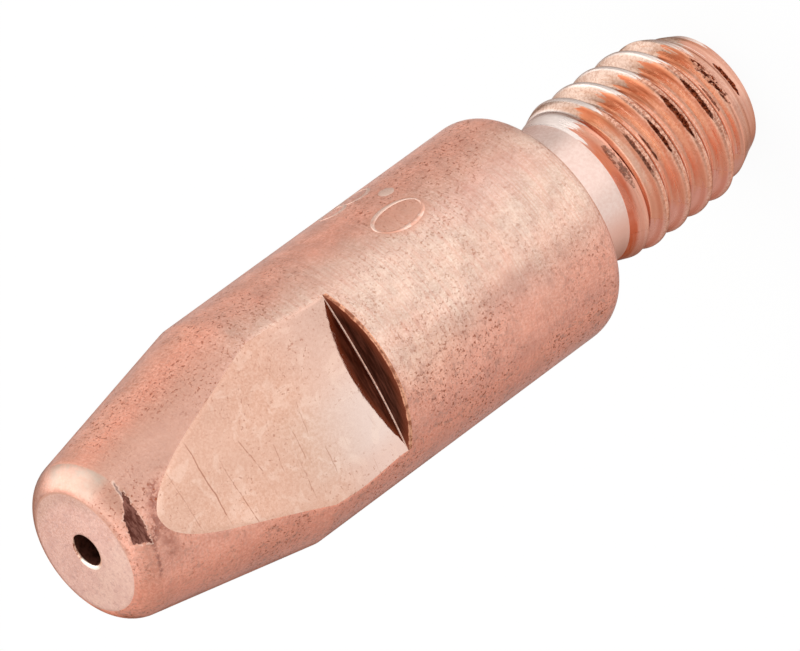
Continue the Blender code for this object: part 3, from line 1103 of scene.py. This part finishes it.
def faced_copper():
    """Nose face: pinkish, faintly pitted, with circular marks and a dark line round its edge."""
    graph = Surface("faced_copper")
    x, y, z = graph.parts
    rings = graph.noise(9.0, 3.0, 0.6, over=graph.around(1.0, 0.15))
    pits = graph.specks(8.0, 0.55, 0.64, 0.35)
    tone = graph.mottled(FACED_TONES, 1.4)
    near = x * 0.5 - y * 0.87
    near = near + graph.noise(0.9, 3.0, 0.6) * 1.2
    tone = near.spread(0.9, 1.7, 0.0, 0.45).mix(tone, FACE_NEAR_TONE)
    cloud = graph.noise(2.6, 4.0, 0.7).spread(0.46, 0.62)
    tone = (cloud * 0.35).mix(tone, FACE_CLOUD_TONE)
    tone = (pits * 0.35).mix(tone, FACE_PIT_TONE)
    dim = graph.reach.spread(1.45, 1.9) * y.spread(0.9, 1.6)
    tone = dim.tint(tone, FACE_DIM_TINT)
    crease = graph.reach.spread(2.01, 2.08) * y.spread(-0.9, 0.0, 0.2, 0.8)
    tone = crease.mix(tone, FACE_CREASE_TONE)
    height = rings + pits * -0.6
    return graph.metal(tone, 0.36, graph.bump(height, 0.004), sheen=0.3)


def bore_copper():
    """Inside of the bore: painted dark as shade deep in the hole, with wire dust."""
    graph = Surface("bore_copper")
    tone = graph.noise(4.0, 3.0).spread(0.35, 0.65).mix(*BORE_SHADE_TONES)
    return graph.metal(tone, 0.6, graph.bump(graph.noise(8.0), 0.01))


def rim_copper():
    """The bore's edge: painted bright on one side as a highlight, stained elsewhere."""
    graph = Surface("rim_copper")
    # painted highlight on one side of the rim
    wear_and_highlight = abs(graph.azimuth - RIM_HIGHLIGHT_AZIMUTH).spread(60.0, 38.0)
    stained = graph.noise(3.1, 3.0, 0.6).spread(0.45, 0.6).mix(*RIM_TONES)
    return graph.metal(wear_and_highlight.mix(stained, RIM_HIGHLIGHT_TONE), 0.3)


def mark_copper():
    """The stamped figures: pale copper as a painted highlight on the raised strokes, worn away in part."""
    graph = Surface("mark_copper")
    wear_and_highlight = graph.noise(1.7, 3.0, 0.6).spread(0.5, 0.58, 0.0, 0.8)
    wear_and_highlight = wear_and_highlight * graph.azimuth.spread(62.0, 58.0)
    wear_and_highlight = graph.highest(wear_and_highlight, graph.oval(*MARK_GAP).spread(1.0, 0.0))
    tone = wear_and_highlight.mix(graph.mottled(MARK_HIGHLIGHT_TONES, 2.0), MARK_WORN_TONE)
    return graph.metal(tone, 0.45, sheen=0.4)


def root_highlight_copper():
    """The bright line where the flat meets its step, a painted highlight on the fillet."""
    graph = Surface("root_highlight_copper")
    return graph.metal(graph.mottled(ROOT_HIGHLIGHT_TONES), 0.35)


def step_copper():
    """The step's wall: painted dark brown as the dark reflection that its shiny face shows, with faint
    streaks along the mill's track.
    """
    graph = Surface("step_copper")
    x, y, z = graph.parts
    streak = graph.noise(9.0, 3.0, 0.65, over=graph.vector(x, y * 0.12, z))
    tone = streak.spread(0.35, 0.7).mix(*STEP_DARK_REFLECTION_TONES)
    tone = graph.reach.spread(3.5, 3.95, 0.0, 0.75).mix(tone, STEP_OUTER_TONE)
    return graph.metal(tone, 0.42, graph.bump(streak, 0.006))


def edge_copper():
    """The step's broken edge: orange metal under brown stain."""
    graph = Surface("edge_copper")
    tone = graph.noise(3.2, 3.0, 0.7).spread(0.42, 0.58).mix(*EDGE_TONES)
    return graph.metal(tone, 0.38, graph.bump(graph.noise(9.0), 0.006))


def neck_copper():
    """The relieved neck: pale copper as a painted highlight, painted lighter on its upper side and darker
    and more orange below as painted shade.
    """
    graph = Surface("neck_copper")
    y = graph.parts[1]
    rings = graph.noise(8.0, over=graph.around(1.0, 0.05))
    tone = graph.mottled(NECK_HIGHLIGHT_TONES, 0.8)
    tone = y.spread(-0.5, -1.5, 0.0, 0.8).mix(tone, NECK_LOWER_SHADE_TONE)
    tone = y.spread(2.0, 2.4).tint(tone, NECK_UPPER_LIGHT_TINT)
    return graph.metal(tone, 0.42, graph.bump(rings, 0.002), grain=0.3)


class ThreadSurface(Surface):
    """The thread's nodes, with the values that its layers share."""

    @cached_property
    def climb(self):
        """Height above the crest's middle, from -0.5 to 0.5 of a pitch."""
        return self.attribute("climb")

    @cached_property
    def hairs(self):
        """Fine marks drawn out along the thread."""
        return self.noise(7.0, 3.0, 0.6, over=self.around(1.0, 0.10))

    @cached_property
    def grit(self):
        return self.noise(11.0, 3.0, 0.75)

    @cached_property
    def shifted(self):
        """The azimuth, with ragged borders for what depends on it."""
        return self.azimuth + self.hairs.wobble(60.0)

    @cached_property
    def root(self):
        return abs(self.climb).spread(0.36, 0.43)

    @cached_property
    def band(self):
        """The worn band along the crest, up to the runout."""
        aside = abs(self.climb + 0.03) + self.hairs.wobble(0.1)
        return aside.spread(0.18, 0.1) * self.parts[2].spread(5.45, 5.2)

    @cached_property
    def chamfer(self):
        """The chamfer from the thread up to the neck."""
        return self.parts[2].spread(5.46, 5.58)


def flank_tone(graph):
    """Orange flanks, redder below, browner above and on the last turn, and pinker towards the back."""
    tone = graph.mottled(ORANGE_TONES)
    lower = graph.shifted.between(-2.0, -20.0, -46.0, -62.0)
    tone = (lower * 0.8).mix(tone, THREAD_LOWER_TONE)
    last = graph.parts[2].spread(4.95, 5.15) * graph.shifted.spread(70.0, 50.0)
    last = last * graph.shifted.spread(18.0, 34.0, 0.15, 0.7)
    tone = last.mix(tone, THREAD_LAST_TONE)
    upper = graph.shifted.spread(30.0, 40.0) * graph.azimuth.spread(172.0, 120.0)
    tone = (upper * 0.85).mix(tone, THREAD_UPPER_TONE)
    pink = graph.shifted.spread(-40.0, -54.0) * graph.azimuth.spread(-175.0, -120.0)
    return (pink * 0.8).mix(tone, THREAD_PINK_TONE)


def flank_tints(graph, tone):
    """Light and shade in lines along the thread, each over its part of the pitch."""
    z = graph.parts[2]
    climb = graph.climb
    tone = climb.between(0.13, 0.17, 0.2, 0.27).tint(tone, FLANK_SHADE)
    facing = graph.azimuth.between(-28.0, -14.0, 32.0, 40.0)
    low = climb.between(0.21, 0.27, 0.31, 0.37)
    tone = (low * facing).tint(tone, FLANK_LIGHT)
    tone = (graph.root * z.spread(5.1, 4.9)).tint(tone, ROOT_SHADE)
    runout = z.spread(5.15, 5.3) * abs(climb).spread(0.3, 0.38)
    tone = runout.tint(tone, RUNOUT_LIGHT)
    tone = climb.between(-0.26, -0.18, -0.13, -0.09).tint(tone, CREST_RIM_LIGHT)
    tongue = graph.shifted.spread(40.0, 48.0) * graph.azimuth.spread(150.0, 110.0)
    tongue = tongue * climb.between(0.14, 0.2, 0.44, 0.49)
    return tongue.tint(tone, TONGUE_SHADE)


def worn_crests(graph, tone):
    """Gritty pinkish crests, paler to the side, with dirt in front."""
    wear_and_highlight = graph.grit.spread(0.36, 0.62).mix(*CREST_TONES)
    wear_and_highlight = graph.azimuth.between(-44.0, -54.0, -120.0, -172.0).tint(wear_and_highlight, CREST_SIDE_LIGHT)
    wear_and_highlight = graph.climb.spread(-0.02, -0.09).tint(wear_and_highlight, CREST_LOWER_LIGHT)
    share = graph.band * graph.azimuth.spread(-12.0, -30.0, 0.85, 0.55)
    tone = share.mix(tone, wear_and_highlight)
    front = graph.shifted.between(-14.0, -4.0, 34.0, 44.0) * graph.band
    front = front * graph.grit.spread(0.6, 0.45, 0.1, 0.5)
    return front.mix(tone, CREST_DIRT_TONE)


def thread_ends(graph, tone):
    """The chamfer with its burnt collar below the neck, and the paler screwed end."""
    z = graph.parts[2]
    tone = (graph.chamfer * 0.7).mix(tone, CHAMFER_TONE)
    ragged = z + graph.grit.wobble(0.1)
    collar = ragged.spread(5.84, 6.0) * graph.shifted.spread(46.0, 26.0)
    collar = collar * graph.hairs.spread(0.36, 0.6, 0.6, 1.0)
    collar = collar * graph.azimuth.spread(-172.0, -120.0)
    burnt = graph.shifted.spread(0.0, 14.0).mix(*COLLAR_TONES)
    tone = collar.mix(tone, burnt)
    return z.spread(1.25, 0.9, 0.0, 0.75).mix(tone, END_TONE)


def pale_side(graph, tone):
    """The side that faces the large softbox, painted pale as a highlight, its crests and the chamfer most of
    all.
    """
    cream = graph.grit.spread(0.34, 0.6).mix(*CREAM_HIGHLIGHT_TONES)
    slope = graph.climb.between(0.15, 0.22, 0.36, 0.42)
    cream = (slope * graph.shifted.spread(76.0, 66.0)).tint(cream, CREAM_SLOPE_SHADE)
    cream = graph.root.tint(cream, CREAM_ROOT_LIGHT)
    cream = graph.highest(graph.band * 0.9, graph.chamfer).mix(cream, CREAM_CREST_HIGHLIGHT_TONE)
    sooner = graph.shifted + graph.highest(graph.chamfer, graph.band) * 13.0
    pale = sooner.spread(57.0, 61.0) * graph.azimuth.spread(150.0, 110.0)
    return (pale * 0.9).mix(tone, cream)


def streak_share(graph):
    """The thread's dark streaks, painted shade with soot in it, ragged and broken, thinning out to both
    ends.
    """
    ragged = graph.noise(8.0, 4.0, 0.7, over=graph.around(1.0, 0.45))
    gaps = graph.noise(7.5, 3.0, 0.7, over=graph.around(1.0, 0.7))
    unrolled = graph.parts[2] - graph.azimuth * (PITCH / 360)
    level = unrolled + ragged.wobble(0.08)
    streaks = []
    for height, first, last, half_width, broken, strength in STREAKS:
        along = (graph.azimuth - (first + last) / 2) / ((last - first) / 2)
        taper = 1.0 - abs(along) ** 4.0
        aside = abs(level - height) / half_width
        body = taper + ragged * 2.2 - aside
        solid = body.spread(0.95, 1.3)
        opening = 0.16 * (1 - broken)
        kept = gaps.spread(0.5 - opening, 0.56 - opening, 1 - broken, 1.0)
        streaks.append(solid * kept * strength)
    return graph.highest(*streaks)


def thread_copper():
    """The thread: orange flanks, gritty pinkish crests, dark streaks of painted shade and soot in front, and
    a painted highlight on its pale side.
    """
    graph = ThreadSurface("thread_copper")
    tone = flank_tints(graph, flank_tone(graph))
    tone = thread_ends(graph, worn_crests(graph, tone))
    tone = pale_side(graph, tone)
    dark = streak_share(graph)
    shade_and_soot = graph.grit.spread(0.45, 0.6).mix(*SHADE_AND_SOOT_TONES)
    tone = dark.mix(tone, shade_and_soot)
    gloss = graph.hairs.spread(0.3, 0.7, 0.24, 0.38)
    height = graph.hairs + graph.grit * 0.8 + dark * -0.3
    return graph.metal(tone, gloss, graph.bump(height, 0.010), grain=0.3)


def tip_materials():
    """One material for each kind of surface."""
    return {
        "turned": turned_copper(),
        "milled": milled_copper(),
        "faced": faced_copper(),
        "bore": bore_copper(),
        "rim": rim_copper(),
        "root": root_highlight_copper(),
        "step": step_copper(),
        "edge": edge_copper(),
        "neck": neck_copper(),
        "thread": thread_copper(),
    }


def camera_axes():
    """The camera's right, down and forward directions."""
    axis = Vector((0, 0, -1))
    near = Vector((math.cos(CAMERA_AZIMUTH), math.sin(CAMERA_AZIMUTH), 0))
    side = Vector((-math.sin(CAMERA_AZIMUTH), math.cos(CAMERA_AZIMUTH), 0))
    leaning = math.cos(CAMERA_ELEVATION) * axis + math.sin(CAMERA_ELEVATION) * near
    right = math.cos(CAMERA_ROLL) * leaning + math.sin(CAMERA_ROLL) * side
    down = math.sin(CAMERA_ROLL) * leaning - math.cos(CAMERA_ROLL) * side
    forward = math.sin(CAMERA_ELEVATION) * axis - math.cos(CAMERA_ELEVATION) * near
    return right, down, forward


def add_camera():
    """A long lens at the photograph's angle."""
    right, down, forward = camera_axes()
    nose = Vector((0, 0, NOSE_HEIGHT))
    place = nose - NOSE_IN_CAMERA[0] * right - NOSE_IN_CAMERA[1] * down - NOSE_IN_CAMERA[2] * forward
    data = bpy.data.cameras.new("camera")
    data.lens = CAMERA_LENS
    data.sensor_fit = "HORIZONTAL"
    data.sensor_width = SENSOR_WIDTH
    data.clip_start, data.clip_end = CLIP_RANGE
    camera = linked_object("camera", data)
    turn = Matrix((right, -down, -forward)).transposed()
    camera.matrix_world = Matrix.Translation(place * MM) @ turn.to_4x4()
    bpy.context.scene.camera = camera


def add_patches(graph, direction, patches, level):
    """A level with soft round patches added to it, each about its own direction."""
    for azimuth, elevation, outer, inner, strength in patches:
        turn, lift = math.radians(azimuth), math.radians(elevation)
        towards = (math.cos(lift) * math.cos(turn), math.cos(lift) * math.sin(turn), math.sin(lift))
        dot = graph.node("ShaderNodeVectorMath", operation="DOT_PRODUCT")
        graph.put(dot.inputs[0], direction)
        graph.put(dot.inputs[1], towards)
        limits = (math.cos(math.radians(outer)), math.cos(math.radians(inner)))
        level = Value(graph, dot.outputs["Value"]).spread(*limits) * strength + level
    return level


def studio_world():
    """Soft light from all round, with a large softbox on the left, a weaker one behind it, a light from
    above and a faint one in front. The camera sees plain white."""
    world = bpy.data.worlds.new("studio")
    graph = Graph(world, "Background")
    direction = graph.node("ShaderNodeTexCoord").outputs["Generated"]
    level = add_patches(graph, direction, WORLD_PATCHES, WORLD_LEVEL)
    camera = Value(graph, graph.node("ShaderNodeLightPath").outputs["Is Camera Ray"])
    lit = level * (1.0 - camera)
    graph.shader.inputs["Color"].default_value = (1.0, 1.0, 1.0, 1.0)
    graph.put(graph.shader.inputs["Strength"], lit + camera)
    bpy.context.scene.world = world


def floor_white():
    """White to the camera, with a faint share of real shading that keeps the shadow. In the metal it
    shows as a soft pool of light in front and a dimmer floor behind."""
    graph = Surface("floor_white")
    graph.shader.inputs["Base Color"].default_value = FLOOR_GREY
    graph.shader.inputs["Roughness"].default_value = 0.9
    graph.shader.inputs["Specular IOR Level"].default_value = 0.0
    away = graph.node("ShaderNodeVectorMath", operation="NORMALIZE")
    graph.put(away.inputs[0], graph.place)
    pool = graph.highest(add_patches(graph, away.outputs[0], FLOOR_PATCHES, FLOOR_LEVEL), 0.0)
    path = graph.node("ShaderNodeLightPath")
    camera = Value(graph, path.outputs["Is Camera Ray"])
    mirrored = graph.highest(path.outputs["Is Glossy Ray"], path.outputs["Is Transmission Ray"])
    glow = graph.node("ShaderNodeEmission")
    graph.put(glow.inputs["Strength"], camera + mirrored * pool)
    share = camera * FLOOR_SEEN_WHITE + mirrored * FLOOR_MIRRORED_WHITE
    mixed = graph.node("ShaderNodeMixShader")
    for socket, value in zip(mixed.inputs, (share, graph.shader.outputs[0], glow.outputs[0])):
        graph.put(socket, value)
    graph.put(graph.tree.nodes["Material Output"].inputs["Surface"], mixed.outputs[0])
    return graph.material


def add_floor():
    """A wide floor just below the tip."""
    half = FLOOR_HALF * MM
    drop = -FLOOR_DROP * MM
    mesh = bpy.data.meshes.new("floor")
    corners = [(-half, -half, drop), (half, -half, drop), (half, half, drop), (-half, half, drop)]
    mesh.from_pydata(corners, [], [(0, 1, 2, 3)])
    mesh.materials.append(floor_white())
    floor = linked_object("floor", mesh)


def main():
    bpy.context.scene.view_settings.view_transform = "Standard"
    studio_world()
    add_floor()
    for piece in (tip_object(tip_materials()), mark_object()):
        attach(piece, "root")
        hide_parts("contact_tip")
    add_camera()


main()
